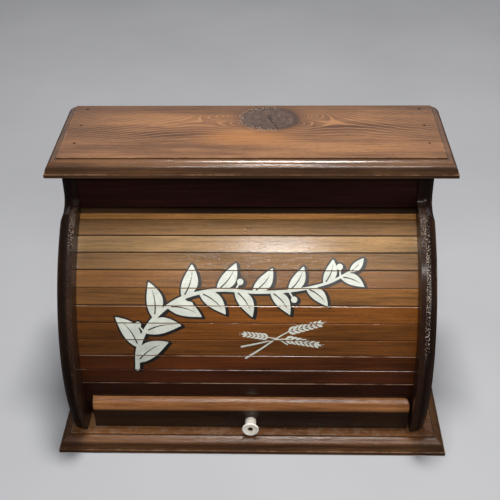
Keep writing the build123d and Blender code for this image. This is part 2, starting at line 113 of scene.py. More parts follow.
def tone(red, green, blue):
    """Linear colour from ordinary 0 to 255 values."""
    def linear(c):
        c = c / 255
        return c / 12.92 if c <= 0.04045 else ((c + 0.055) / 1.055) ** 2.4
    return (linear(red), linear(green), linear(blue), 1.0)


class Graph:
    """A material, with short calls for its nodes."""

    def __init__(self, name):
        self.material = bpy.data.materials.new(name)
        self.material.use_nodes = True
        self.tree = self.material.node_tree
        self.shader = self.tree.nodes["Principled BSDF"]
        self.place = self.node("ShaderNodeTexCoord").outputs["Object"]
        split = self.node("ShaderNodeSeparateXYZ")
        self.put(split.inputs[0], self.place)
        self.x, self.y, self.z = split.outputs

    def node(self, kind, **settings):
        made = self.tree.nodes.new(kind)
        for key, value in settings.items():
            setattr(made, key, value)
        return made

    def put(self, socket, value):
        if isinstance(value, bpy.types.NodeSocket):
            self.tree.links.new(value, socket)
        else:
            socket.default_value = value

    def math(self, operation, *values):
        made = self.node("ShaderNodeMath", operation=operation)
        for socket, value in zip(made.inputs, values):
            self.put(socket, value)
        return made.outputs[0]

    def add(self, *values):
        total = values[0]
        for value in values[1:]:
            total = self.math("ADD", total, value)
        return total

    def times(self, *values):
        total = values[0]
        for value in values[1:]:
            total = self.math("MULTIPLY", total, value)
        return total

    def minus(self, first, second):
        return self.math("SUBTRACT", first, second)

    def centred(self, value):
        """A value from 0 to 1, moved to lie round 0."""
        return self.minus(value, 0.5)

    def squares(self, first, second):
        return self.add(self.times(first, first), self.times(second, second))

    def step(self, value, low, high):
        """0 below low, 1 above high, smooth between; the other way round if low > high."""
        made = self.node("ShaderNodeMapRange", interpolation_type="SMOOTHSTEP")
        self.put(made.inputs["Value"], value)
        made.inputs["From Min"].default_value = low
        made.inputs["From Max"].default_value = high
        return made.outputs[0]

    def band(self, value, low, high, soft):
        """1 between low and high, with soft ends."""
        return self.times(self.step(value, low - soft, low + soft),
                          self.step(value, high + soft, high - soft))

    def stretched(self, scale, offset=(0, 0, 0)):
        """The place, scaled along each axis and then moved."""
        made = self.node("ShaderNodeVectorMath", operation="MULTIPLY_ADD")
        self.put(made.inputs[0], self.place)
        made.inputs[1].default_value = scale
        made.inputs[2].default_value = offset
        return made.outputs[0]

    def noise(self, place, scale, detail=2.0, roughness=0.5, distortion=0.0):
        made = self.node("ShaderNodeTexNoise")
        self.put(made.inputs["Vector"], place)
        made.inputs["Scale"].default_value = scale
        made.inputs["Detail"].default_value = detail
        made.inputs["Roughness"].default_value = roughness
        made.inputs["Distortion"].default_value = distortion
        return made.outputs[0]

    def ramp(self, value, *stops):
        made = self.node("ShaderNodeValToRGB")
        self.put(made.inputs[0], value)
        elements = made.color_ramp.elements
        while len(elements) < len(stops):
            elements.new(0.5)
        for element, (position, colour) in zip(elements, stops):
            element.position = position
            element.color = colour
        return made.outputs[0]

    def tint(self, colour, other, *shares):
        """The colour, drawn towards another by the product of the shares."""
        made = self.node("ShaderNodeMix", data_type="RGBA", blend_type="MIX")
        self.put(made.inputs[0], self.times(*shares))
        self.put(made.inputs[MIX_FIRST], colour)
        self.put(made.inputs[MIX_SECOND], other)
        return made.outputs[MIX_COLOUR]

    def relief(self, height, depth, socket):
        bump = self.node("ShaderNodeBump")
        bump.inputs["Distance"].default_value = depth
        bump.inputs["Strength"].default_value = 1.0
        self.put(bump.inputs["Height"], height)
        self.put(self.shader.inputs[socket], bump.outputs[0])

    def finish(self, colour, roughness, height=None, depth=0.0, film=FILM_SHARE, **constants):
        """Wires the shader; depth is what a height of 1 stands for, in metres.

        film is how much of that relief shows in the lacquer on top.
        """
        self.put(self.shader.inputs["Base Color"], colour)
        self.put(self.shader.inputs["Roughness"], roughness)
        if height is not None:
            self.relief(height, depth, "Normal")
            self.relief(height, depth * film, "Coat Normal")
        for name, value in constants.items():
            self.shader.inputs[name.replace("_", " ")].default_value = value
        return self.material


def seeded(number):
    """An offset that gives each piece its own stretch of the same timber."""
    spots = random.Random(number)
    return tuple(spots.uniform(-9.0, 9.0) for _ in range(3))


def specks(graph, scale, low, high, seed):
    """Small scattered spots: nicks, dust or worn places."""
    place = graph.stretched(EVEN, seeded(seed))
    return graph.step(graph.noise(place, scale, 3.0, 0.6), low, high)


def wood(graph, axis, seed, dark, middle, light, streak=1.0, blotch=1.0):
    """Colour, roughness and height of oiled, stained wood with its grain along axis."""
    offset = seeded(seed)

    def figure(draw, *settings):
        """Noise that is drawn out along the grain."""
        scale = tuple(draw if name == axis else 1.0 for name in "XYZ")
        return graph.noise(graph.stretched(scale, offset), *settings)

    blotches = figure(0.22, 24.0, 4.0, 0.55)
    streaks = figure(0.035, 310.0, 4.0, 0.62, 0.4)
    fibres = figure(0.018, 1500.0, 3.0, 0.6)
    pores = graph.step(figure(0.055, 2300.0, 1.0), 0.60, 0.68)
    value = graph.add(0.5,
                      graph.times(graph.centred(blotches), 0.85 * blotch),
                      graph.times(graph.centred(streaks), 0.75 * streak),
                      graph.times(graph.centred(fibres), 0.45 * streak))
    colour = graph.ramp(value, (0.22, dark), (0.50, middle), (0.80, light))
    colour = graph.tint(colour, dark, pores, 0.55)
    roughness = graph.add(0.30, graph.times(blotches, 0.16), graph.times(fibres, 0.10),
                          graph.times(pores, 0.15))
    height = graph.add(graph.times(fibres, 0.45), graph.times(streaks, 0.35),
                       graph.times(pores, -0.6))
    return colour, roughness, height


# ---- wood finishes -------------------------------------------------------------------
def lacquer(specular, coat, coat_roughness):
    return {"Specular_IOR_Level": specular, "Coat_Weight": coat, "Coat_Roughness": coat_roughness}


LACQUER = lacquer(0.10, 0.60, 0.13)
OLD_LACQUER = lacquer(0.06, 0.55, 0.15)
RAIL_LACQUER = lacquer(0.05, 0.90, 0.20)
PANEL_LACQUER = lacquer(0.08, 0.35, 0.12)
FASCIA_LACQUER = lacquer(0.10, 0.10, 0.20)

DIRT_AND_SHADE = tone(20, 11, 8)             # dirt in the slats' joints, and painted shade in grooves, hollows and under things
BARE_AND_LIT = tone(188, 150, 122)              # wood where the stain is rubbed off, also painted highlight on edges that face the light


def crackled(graph, height, seed):
    """The height, with the fine crackle of old lacquer."""
    crackle = graph.noise(graph.stretched((0.6, 1, 1), seeded(seed)), 1100.0, 2.0, 0.6)
    return graph.add(height, graph.times(crackle, 1.6))


def moulding_wear_and_shade(graph, colour, low, high):
    """Wear, painted shade and highlight of a moulded board with the corners low and high.

    Painted shade lies in the step beside the raised face, at the round's foot and on the
    lip; stain darkens the round a little. The raised face's crest gets chipped specks of
    painted highlight, and the lip's upper face a painted highlight with a little wear.
    """
    left = graph.add(graph.x, high.x)
    right = graph.minus(high.x, graph.x)
    fore = graph.minus(graph.y, low.y)
    inside = graph.math("MINIMUM", graph.math("MINIMUM", left, right), fore)
    swell = graph.band(inside, MOULD_LIP, MOULD_WIDTH - 0.0008, 0.0006)
    groove = graph.band(inside, MOULD_WIDTH - 0.0012, MOULD_WIDTH - 0.0001, 0.0003)
    foot = graph.band(inside, MOULD_LIP, MOULD_LIP + 0.0022, 0.0009)
    lip = graph.step(inside, MOULD_LIP + 0.0001, MOULD_LIP - 0.0003)
    # painted shade in the step, at the round's foot and on the lip; a little stain on the round
    for place, share in ((swell, 0.34), (groove, 0.85), (foot, 0.60), (lip, 0.65)):
        colour = graph.tint(colour, DIRT_AND_SHADE, place, share)
    height = graph.minus(graph.z, low.z)
    lit_shelf = graph.times(lip, graph.step(height, LIP_HEIGHT - 0.0008, LIP_HEIGHT - 0.0002))
    rubbed = graph.add(0.06, graph.times(specks(graph, 60.0, 0.42, 0.64, 5), 0.22))
    crest = graph.band(inside, MOULD_WIDTH + 0.0001, MOULD_WIDTH + 0.0008, 0.0002)
    # painted highlight on the lip's upper face, which faces up, with worn specks
    colour = graph.tint(colour, BARE_AND_LIT, lit_shelf, rubbed)
    # painted highlight, in chipped specks, along the raised face's crest
    return graph.tint(colour, BARE_AND_LIT, crest, specks(graph, 110.0, 0.50, 0.62, 6), 0.35)


KNOT_X, KNOT_Y = 0.020, 0.092           # the knot's middle
KNOT_LONG, KNOT_WIDE = 0.034, 0.029     # its half length and half width
CRACK_X, CRACK_Y = 0.018, 0.098         # a point of its crack


def top_wood():
    """Flat-sawn board whose growth lines run round one big knot."""
    g = Graph("top_wood")
    low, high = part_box("top_board")
    colour, roughness, height = wood(g, "X", 11, tone(62, 38, 24), tone(104, 71, 47),
                                     tone(142, 100, 66), streak=0.9, blotch=1.6)
    across = g.times(g.minus(g.x, KNOT_X), 1 / KNOT_LONG)
    along = g.times(g.minus(g.y, KNOT_Y), 1 / KNOT_WIDE)
    waver = g.noise(g.stretched((0.30, 1, 1), seeded(3)), 30.0, 3.0, 0.5)

    # growth lines, which flow round the knot like water round a pile
    square = g.add(g.squares(g.times(across, 0.42), along), 0.05)
    rings = g.math("SQRT", square)
    flow = g.times(along, g.minus(1.0, g.math("DIVIDE", 0.9, square)))
    line = g.math("FRACT", g.add(g.times(flow, 8.5), g.times(rings, 5.5), g.times(waver, 2.6)))
    pale = g.times(g.step(line, 0.0, 0.12), g.step(line, 0.36, 0.14))
    shade = g.step(line, 0.55, 0.98)
    rear = g.step(g.y, 0.022, 0.062)
    near = g.step(rings, 5.2, 2.0)
    strength = g.times(rear, g.add(0.45, g.times(near, 0.55)))
    colour = g.tint(colour, tone(170, 122, 82), pale, strength, 0.55)
    colour = g.tint(colour, tone(66, 38, 26), shade, strength, 0.25)

    # an orange patch before the knot; darker ends and rear
    gold = g.times(g.band(g.y, 0.035, 0.060, 0.016), g.band(g.x, -0.045, 0.040, 0.030))
    colour = g.tint(colour, tone(170, 112, 58), gold, 0.50)
    ends = g.step(g.math("ABSOLUTE", g.x), 0.110, 0.215)
    aged = g.add(g.times(ends, 0.30), g.times(g.step(g.y, 0.085, 0.127), 0.30))
    colour = g.tint(colour, tone(58, 38, 26), aged)

    # the knot: its halo, dead wood, rings, rim and white dots of old resin
    reach = g.add(g.math("SQRT", g.squares(across, along)), g.times(g.centred(waver), 0.35))
    colour = g.tint(colour, tone(66, 40, 28), g.step(reach, 1.45, 1.00), 0.40)
    inside = g.step(reach, 1.05, 0.86)
    turning = g.noise(g.stretched(EVEN, seeded(8)), 150.0, 4.0, 0.65, 1.2)
    dead = g.ramp(turning, (0.30, tone(44, 32, 28)), (0.55, tone(78, 62, 54)),
                  (0.75, tone(108, 90, 80)))
    colour = g.tint(colour, dead, inside, 0.88)
    knot_rings = g.step(g.math("SINE", g.times(reach, 24.0)), 0.2, 0.9)
    colour = g.tint(colour, tone(48, 30, 24), knot_rings, inside, 0.30)
    colour = g.tint(colour, tone(44, 27, 20), g.band(reach, 0.84, 1.02, 0.07), 0.50)
    dots = g.times(g.band(reach, 0.84, 1.10, 0.06), specks(g, 620.0, 0.59, 0.63, 14),
                   g.step(across, 0.6, -0.1))
    colour = g.tint(colour, tone(206, 192, 172), dots, 0.90)

    # its crack, nearly along Y
    slant = g.add(g.times(g.minus(g.x, CRACK_X), 0.94), g.times(g.minus(g.y, CRACK_Y), 0.34),
                  g.times(g.centred(turning), 0.006))
    crack = g.times(g.step(g.math("ABSOLUTE", slant), 0.0009, 0.0003),
                    g.band(g.y, 0.064, 0.100, 0.004))
    colour = g.tint(colour, tone(22, 14, 12), crack, 0.9)

    colour = g.tint(colour, BARE_AND_LIT, specks(g, 420.0, 0.70, 0.73, 21), 0.5)
    # painted shade on the board's underside
    underside = g.step(g.z, low.z + 0.0006, low.z + 0.0001)
    colour = g.tint(colour, DIRT_AND_SHADE, underside, 0.5)
    colour = moulding_wear_and_shade(g, colour, low, high)
    height = g.add(height, g.times(pale, rear, 0.5), g.times(crack, -3.0),
                   g.times(inside, turning, 0.8))
    return g.finish(colour, roughness, height, 0.00012, **LACQUER)


def base_wood():
    """The base, worn on its upper face, under old crackled lacquer."""
    g = Graph("base_wood")
    low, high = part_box("base_board")
    colour, roughness, height = wood(g, "X", 31, tone(66, 39, 20), tone(112, 72, 40),
                                     tone(150, 105, 64))
    worn = g.times(specks(g, 150.0, 0.48, 0.60, 33),
                   g.step(g.z, high.z - 0.0008, high.z - 0.0002))
    colour = g.tint(colour, tone(138, 116, 98), worn, 0.40)
    ends = g.step(g.math("ABSOLUTE", g.x), 0.180, 0.202)
    colour = g.tint(colour, tone(44, 30, 22), ends, 0.50)
    colour = moulding_wear_and_shade(g, colour, low, high)
    roughness = g.add(roughness, g.times(worn, 0.25))
    return g.finish(colour, roughness, crackled(g, height, 35), 0.00015, CRACKLED_SHARE,
                    **OLD_LACQUER)


LEFT, RIGHT = -1, 1


def panel_wood(side):
    """Upright grain; painted shade on the round and the neck, painted highlight along the outer
    lip.

    The right panel has bare rubbed spots on the shoulder of its round, the left one few.
    """
    name = "left" if side == LEFT else "right"
    g = Graph("panel_wood_" + name)
    low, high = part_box("side_panel_" + name)
    colour, roughness, height = wood(g, "Z", 40 + side, tone(23, 13, 9), tone(44, 27, 18),
                                     tone(68, 46, 33))
    radius = g.math("SQRT", g.squares(g.minus(g.y, ARC_Y), g.minus(g.z, ARC_Z)))
    crest = g.math("MAXIMUM", g.step(radius, PANEL_RADIUS - 0.0060, PANEL_RADIUS - 0.0010),
                   g.step(g.z, 0.250, 0.262))
    edge = g.times(crest, g.step(g.y, 0.020, -0.002))

    # bands across the front edge, by the distance from the panel's inner face
    depth = g.minus(high.x, g.x) if side == LEFT else g.minus(g.x, low.x)
    flat_band = g.step(depth, 0.0062, 0.0048)
    shoulder = g.band(depth, 0.0050, 0.0098, 0.0005)
    round_band = g.band(depth, 0.0066, 0.0150, 0.0008)
    lip_band = g.times(g.step(depth, 0.0162, 0.0168), g.step(g.y, -0.020, -0.050))

    def flecks(draw, seed, none, full):
        place = g.stretched((1, 1, draw), seeded(seed + side))
        return g.step(g.noise(place, 900.0, 3.0, 0.6), none, full)

    spots = flecks(0.55, 44, 0.57, 0.61)
    streaks = flecks(0.10, 46, 0.48, 0.66)
    high_up = g.band(g.z, 0.140, 0.250, 0.020)
    scuffed = g.band(g.z, 0.234, 0.256, 0.006)
    spotted, worn, reddened = (0.04, 0.03, 0.10) if side == LEFT else (0.90, 0.0, 0.55)
    rubbed = g.times(edge, g.add(g.times(shoulder, spots, high_up, spotted),
                                 g.times(flat_band, streaks,
                                         g.add(worn, g.times(scuffed, 0.35)))))
    colour = g.tint(colour, tone(34, 16, 12), edge, flat_band, reddened)
    # painted shade on the round of the front edge, which faces outward
    colour = g.tint(colour, DIRT_AND_SHADE, edge, round_band, 0.92)
    colour = g.tint(colour, tone(196, 180, 164), rubbed)
    # painted shadow of the top board on the neck
    colour = g.tint(colour, DIRT_AND_SHADE, edge, g.step(g.z, 0.254, 0.264), 0.85)
    # painted highlight along the outer lip
    colour = g.tint(colour, tone(140, 114, 96), edge, lip_band, 0.75)
    roughness = g.add(roughness, g.times(rubbed, 0.25))
    return g.finish(colour, roughness, height, 0.00010, **PANEL_LACQUER)


def fascia_wood():
    g = Graph("fascia_wood")
    colour, roughness, height = wood(g, "X", 51, tone(18, 7, 5), tone(32, 12, 9),
                                     tone(46, 19, 13))
    return g.finish(colour, roughness, height, 0.00012, **FASCIA_LACQUER)


AMBER = (160, 112, 62)
HONEY = (134, 90, 48)
NUT = (124, 83, 44)
TAN = (134, 104, 68)
BROWN = (118, 86, 52)
CHESTNUT = (112, 66, 26)
MAHOGANY = (88, 43, 13)
UMBER = (74, 34, 10)
EBONY = (48, 18, 5)
SLAT_STAINS = ([AMBER, BROWN, TAN, BROWN, NUT, HONEY] + 3 * [CHESTNUT] + [MAHOGANY, UMBER]
               + 3 * [EBONY])           # from the uppermost slat down; the second slat's brown also stands for the top board's shadow on it, painted shade

# how much dirt lies in the joint below each slat, and the slats whose upper edge is rubbed bare
# and carries a painted highlight
JOINT_DIRT = [0.5, 1.0, 1.0, 1.0, 0.4, 1.0, 0.4, 0.4, 0.6, 0.4] + 4 * [1.0]
WORN_AND_LIT_ARRIS = (6, 9, 11)


def shaded(stain, share):
    """The same stain made darker or lighter by share, for denser and lighter wood and for painted
    shade and highlight.
    """
    return tone(*[min(255, share * part) for part in stain])


def slat_wood(index):
    """Each slat was cut from another board, so each has its own stain and figure."""
    g = Graph(f"slat_wood_{index + 1:02d}")
    stain = SLAT_STAINS[index]
    colour, roughness, height = wood(g, "X", 60 + index, shaded(stain, 0.62),
                                     shaded(stain, 1.0), shaded(stain, 1.26), blotch=1.1)
    angle = math.radians(slat_angle(index))
    up = g.add(g.times(g.minus(g.y, ARC_Y), math.sin(angle)),
               g.times(g.minus(g.z, ARC_Z), math.cos(angle)))
    lower = g.step(up, 0.0018 - SLAT_PITCH / 2, 0.0010 - SLAT_PITCH / 2)
    upper = g.step(up, SLAT_PITCH / 2 - 0.0014, SLAT_PITCH / 2 - 0.0008)
    colour = g.tint(colour, DIRT_AND_SHADE, lower, 0.90 * JOINT_DIRT[index])
    # painted highlight along every slat's upper edge, which faces up
    colour = g.tint(colour, shaded(stain, 1.45), upper, 0.16)
    # rubbed bare wood and painted highlight along the upper edge
    if index in WORN_AND_LIT_ARRIS:
        rubbed = g.step(g.noise(g.place, 40.0), 0.25, 0.60)
        colour = g.tint(colour, BARE_AND_LIT, upper, 0.65, rubbed)
    if index == 0:                      # painted shadow of the fascia on the uppermost slat
        colour = g.tint(colour, DIRT_AND_SHADE, g.step(up, -0.0026, -0.0008), 0.97)
    # painted shade: the slats darken towards their left ends
    shaded_left_end = g.step(g.x, -0.050, -0.165)
    colour = g.tint(colour, shaded(stain, 0.45), shaded_left_end, 0.42)
    dents = specks(g, 300.0, 0.70, 0.74, 80 + index)
    colour = g.tint(colour, tone(48, 28, 20), dents, 0.5)
    height = g.add(height, g.times(dents, -1.5))
    return g.finish(colour, roughness, height, 0.00010, **LACQUER)


RAIL_DARK_FROM, RAIL_DARK_TO = 0.0475, 0.0430       # heights between which its face darkens


def rail_wood():
    """The rail: light on its round, nearly black on its face below."""
    g = Graph("rail_wood")
    low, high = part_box("lift_rail")
    colour, roughness, height = wood(g, "X", 91, tone(92, 54, 28), tone(154, 100, 58),
                                     tone(190, 132, 82))
    face = g.step(g.y, low.y + 0.010, low.y + 0.002)
    lower = g.times(g.step(g.z, RAIL_DARK_FROM, RAIL_DARK_TO), face)
    colour = g.tint(colour, tone(15, 6, 4), lower, 0.96)
    colour = g.tint(colour, tone(40, 24, 16), specks(g, 420.0, 0.68, 0.72, 93), 0.5)
    return g.finish(colour, roughness, crackled(g, height, 94), 0.00014, CRACKLED_SHARE,
                    **RAIL_LACQUER)


def ply_wood():
    g = Graph("back_ply")
    colour, roughness, height = wood(g, "Z", 101, tone(104, 74, 48), tone(150, 114, 78),
                                     tone(184, 148, 108))
    colour = g.tint(colour, tone(96, 70, 50), specks(g, 60.0, 0.5, 0.7, 102), 0.3)
    return g.finish(colour, g.add(roughness, 0.25), height, 0.00020, Specular_IOR_Level=0.35)


# ---- other finishes ------------------------------------------------------------------
def porcelain():
    """White glaze, a little grey where hands have rubbed it."""
    g = Graph("porcelain")
    cloud = g.noise(g.place, 160.0, 4.0, 0.6)
    pits = specks(g, 1900.0, 0.70, 0.74, 111)
    colour = g.ramp(cloud, (0.3, tone(214, 206, 192)), (0.6, tone(238, 234, 224)))
    colour = g.tint(colour, tone(120, 104, 88), pits, 0.5)
    roughness = g.add(0.12, g.times(cloud, 0.12))
    height = g.add(g.times(cloud, 0.4), g.times(pits, -1.0))
    return g.finish(colour, roughness, height, 0.00005, Coat_Weight=0.4)


def metal(name, dull, bright, roughness_low):
    """Old metal: bright where it is rubbed, dull and rough between."""
    g = Graph(name)
    patches = g.noise(g.place, 700.0, 4.0, 0.65)
    scratches = g.noise(g.stretched((1, 8, 1)), 900.0, 2.0)
    shine = g.add(g.times(patches, 0.7), g.times(scratches, 0.3))
    colour = g.ramp(shine, (0.35, dull), (0.65, bright))
    roughness = g.add(roughness_low, g.times(patches, 0.35))
    return g.finish(colour, roughness, patches, 0.00006, Metallic=0.85)


def canvas():
    """Plain woven cotton, glued down and a little stained."""
    g = Graph("canvas")
    thread = 2 * math.pi / THREAD
    warp = g.math("SINE", g.times(g.x, thread))
    around = g.math("ARCTAN2", g.minus(g.z, ARC_Z), g.minus(ARC_Y, g.y))
    weft = g.math("SINE", g.times(around, thread * SLAT_INNER))
    weave = g.math("ABSOLUTE", g.times(warp, weft))
    stain = g.noise(g.place, 26.0, 5.0, 0.6)
    lint = g.noise(g.place, 800.0, 3.0, 0.6)
    value = g.add(g.times(stain, 0.6), g.times(weave, 0.2), g.times(lint, 0.2))
    colour = g.ramp(value, (0.25, tone(112, 96, 72)), (0.55, tone(164, 148, 118)),
                    (0.85, tone(190, 176, 148)))
    roughness = g.add(0.80, g.times(lint, 0.12))
    height = g.add(weave, g.times(lint, 0.4))
    return g.finish(colour, roughness, height, 0.00018, Specular_IOR_Level=0.2)


def enamel(name, deep, plain, seed):
    """Brushed sign paint: slightly uneven, with worn specks."""
    g = Graph(name)
    cloud = g.noise(g.stretched(EVEN, seeded(seed)), 90.0, 4.0, 0.6)
    brush = g.noise(g.stretched((0.15, 1, 1), seeded(seed + 1)), 1400.0, 2.0)
    worn = specks(g, 700.0, 0.69, 0.73, seed + 2)
    value = g.add(g.times(cloud, 0.7), g.times(brush, 0.3))
    colour = g.ramp(value, (0.3, deep), (0.6, plain))
    colour = g.tint(colour, tone(96, 64, 42), worn, 0.35)
    roughness = g.add(0.34, g.times(cloud, 0.2))
    height = g.add(cloud, g.times(brush, 0.5))
    return g.finish(colour, roughness, height, 0.00005, Specular_IOR_Level=0.5)


# ---- dressing the solids -------------------------------------------------------------
def dress(name, material):
    node = frame["nodes"][name]
    if not node.material_slots:
        node.data.materials.append(None)
    for slot in node.material_slots:
        slot.material = material


dress("top_board", top_wood())
dress("base_board", base_wood())
dress("side_panel_left", panel_wood(LEFT))
dress("side_panel_right", panel_wood(RIGHT))
dress("fascia_board", fascia_wood())
dress("lift_rail", rail_wood())
dress("back_panel", ply_wood())
dress("knob", porcelain())
dress("knob_screw", metal("dark_brass", tone(40, 30, 20), tone(112, 88, 50), 0.30))
iron = metal("dark_iron", tone(26, 20, 18), tone(74, 66, 60), 0.40)
for name in ("top_nails", "fascia_nails", "back_tacks", "base_screws", "rail_screws"):
    dress(name, iron)
for index in range(SLAT_COUNT):
    dress(f"slat_{index + 1:02d}", slat_wood(index))


# ---- canvas --------------------------------------------------------------------------
def mesh_object(name, points, faces, smooth=False):
    mesh = bpy.data.meshes.new(name)
    mesh.from_pydata([tuple(p) for p in points], [], faces)
    mesh.update()
    if smooth:
        mesh.polygons.foreach_set("use_smooth", [True] * len(mesh.polygons))
    made = bpy.data.objects.new(name, mesh)
    bpy.context.scene.collection.objects.link(made)
    return made


def thicken(sheet, thickness):
    """Gives a sheet its thickness, behind its faces: paint looks outward, the cloth inward."""
    modifier = sheet.modifiers.new("thickness", "SOLIDIFY")
    modifier.thickness = thickness
    modifier.offset = -1.0


def on_slat(index, x, up, outward):
    """Point on slat number index: up along its face, outward from the arc's centre."""
    turn = math.radians(slat_angle(index))
    return (x,
            ARC_Y - math.cos(turn) * outward + math.sin(turn) * up,
            ARC_Z + math.sin(turn) * outward + math.cos(turn) * up)


def canvas_sheet():
    """Cloth glued to the inner faces of the slats; it bridges each joint with a slight fold.

    The points are its inner face; its thickness runs outward from there, into the slats.
    """
    low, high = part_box("canvas_backing")
    last = SLAT_COUNT - 1
    rows = []
    for index in range(SLAT_COUNT):
        for k in range(0 if index == 0 else 1, CLOTH_STEPS + 1):
            share = k / CLOTH_STEPS - 0.5           # down from the slat's middle, in pitches
            if (index == 0 and share < -CLOTH_END) or (index == last and share > CLOTH_END):
                continue
            fold = max(0.0, abs(share) - FOLD_START) / FOLD_WIDTH
            outward = SLAT_INNER - CLOTH_PROUD - CLOTH_SAG * fold
            rows.append((index, -share * SLAT_PITCH, outward))
    points, faces = [], []
    for index, up, outward in rows:
        for c in range(CLOTH_COLUMNS + 1):
            x = low.x + (high.x - low.x) * c / CLOTH_COLUMNS
            points.append(on_slat(index, x, up, outward))
    across = CLOTH_COLUMNS + 1
    for r in range(len(rows) - 1):
        for c in range(CLOTH_COLUMNS):
            first = r * across + c
            faces.append((first, first + 1, first + across + 1, first + across))
    cloth = mesh_object("canvas_cloth", points, faces, smooth=True)
    thicken(cloth, CLOTH_THICKNESS)
    cloth.data.materials.append(canvas())
    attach(cloth, "shutter")
    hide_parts("canvas_backing")


canvas_sheet()


# ---- painted ornament ----------------------------------------------------------------
FAR = 1e3                       # farther than any point of the drawing, in millimetres
TINY = 1e-12                    # keeps a segment of no length from dividing by zero
ON_EDGE = 1e-6                  # distances nearer than this count as just outside
LEAF_STEPS = 16
VEIN_FROM, VEIN_TO, VEIN_STEPS = 0.12, 0.80, 8      # shares of the leaf's length


def curve_through(points, steps):
    """Smooth line through points, in millimetres."""
    pts = [np.array(p, float) for p in points]
    pts = [2 * pts[0] - pts[1]] + pts + [2 * pts[-1] - pts[-2]]
    line = []
    for i in range(1, len(pts) - 2):
        for k in range(steps):
            t = k / steps
            a, b, c, d = pts[i - 1:i + 3]
            line.append(0.5 * (2 * b + (c - a) * t + (2 * a - 5 * b + 4 * c - d) * t * t
                               + (3 * b - a - 3 * c + d) * t ** 3))
    line.append(pts[-2])
    return np.array(line)


def bowed(base, tip, bend, share):
    """Point at a share of the bowed line from base to tip, and the line's normal."""
    base, tip = np.array(base, float), np.array(tip, float)
    axis = tip - base
    normal = np.array([-axis[1], axis[0]])
    return base + axis * share + normal * bend * 4 * share * (1 - share), normal


def leaf_outline(base, tip, width, bend):
    """Outline of a pointed leaf, widest nearer its base, in millimetres."""
    left, right = [], []
    for k in range(LEAF_STEPS + 1):
        t = k / LEAF_STEPS
        middle, normal = bowed(base, tip, bend, t)
        half = width / 2 * math.sin(math.pi * t ** 0.85) ** 0.9 if 0 < t < 1 else 0.0
        side = normal / np.linalg.norm(normal) * half
        left.append(middle + side)
        right.append(middle - side)
    return np.array(left + right[-2:0:-1])


def midrib(base, tip, bend):
    shares = [VEIN_FROM + (VEIN_TO - VEIN_FROM) * k / VEIN_STEPS for k in range(VEIN_STEPS + 1)]
    return np.array([bowed(base, tip, bend, share)[0] for share in shares])


def segment_distance(px, ps, start, edge):
    """Distance of points to a segment, and the share of it at which they are nearest."""
    share = ((px - start[0]) * edge[0] + (ps - start[1]) * edge[1]) / (edge @ edge + TINY)
    share = np.clip(share, 0, 1)
    return np.hypot(px - start[0] - share * edge[0], ps - start[1] - share * edge[1]), share


def outline_distance(grid, outline):
    """Signed distance of grid points to a closed outline, negative inside."""
    px, ps = grid[..., 0], grid[..., 1]
    best = np.full(px.shape, FAR)
    inside = np.zeros(px.shape, bool)
    for a, b in zip(outline, np.roll(outline, -1, axis=0)):
        edge = b - a
        best = np.minimum(best, segment_distance(px, ps, a, edge)[0])
        crosses = (a[1] > ps) != (b[1] > ps)
        with np.errstate(divide="ignore", invalid="ignore"):
            inside ^= crosses & (px < edge[0] * (ps - a[1]) / (b[1] - a[1]) + a[0])
    return np.where(inside, -best, best)


def stroke_distance(grid, line, start_width, end_width):
    """Signed distance to a brush stroke along an open line."""
    px, ps = grid[..., 0], grid[..., 1]
    best = np.full(px.shape, FAR)
    count = len(line) - 1
    for i, (a, b) in enumerate(zip(line[:-1], line[1:])):
        away, share = segment_distance(px, ps, a, b - a)
        half = (start_width + (end_width - start_width) * (i + share) / count) / 2
        best = np.minimum(best, away - half)
    return best


class Drawing:
    """Shapes on the unrolled shutter. Leaves, strokes and dots add; veins cut."""

    def __init__(self):
        self.shapes = []
        self.veins = []

    def leaf(self, base, tip, width, bend=0.0, vein=0.0):
        outline = leaf_outline(base, tip, width, bend)
        self.shapes.append(lambda grid: outline_distance(grid, outline))
        if vein:
            line = midrib(base, tip, bend)
            self.veins.append(lambda grid: stroke_distance(grid, line, vein, vein * 0.4))

    def stroke(self, points, start_width, end_width, steps=6):
        line = curve_through(points, steps)
        self.shapes.append(lambda grid: stroke_distance(grid, line, start_width, end_width))

    def dot(self, centre, radius):
        line = np.array([centre, (centre[0] + 0.01, centre[1])], float)
        self.shapes.append(lambda grid: stroke_distance(grid, line, 2 * radius, 2 * radius))

    def filled(self, grid):
        """Signed distance to the shapes alone."""
        best = np.full(grid.shape[:-1], FAR)
        for shape in self.shapes:
            best = np.minimum(best, shape(grid))
        return best

    def distance(self, grid):
        """Signed distance to the shapes with their veins cut out."""
        best = self.filled(grid)
        for vein in self.veins:
            best = np.maximum(best, -vein(grid))
        return best


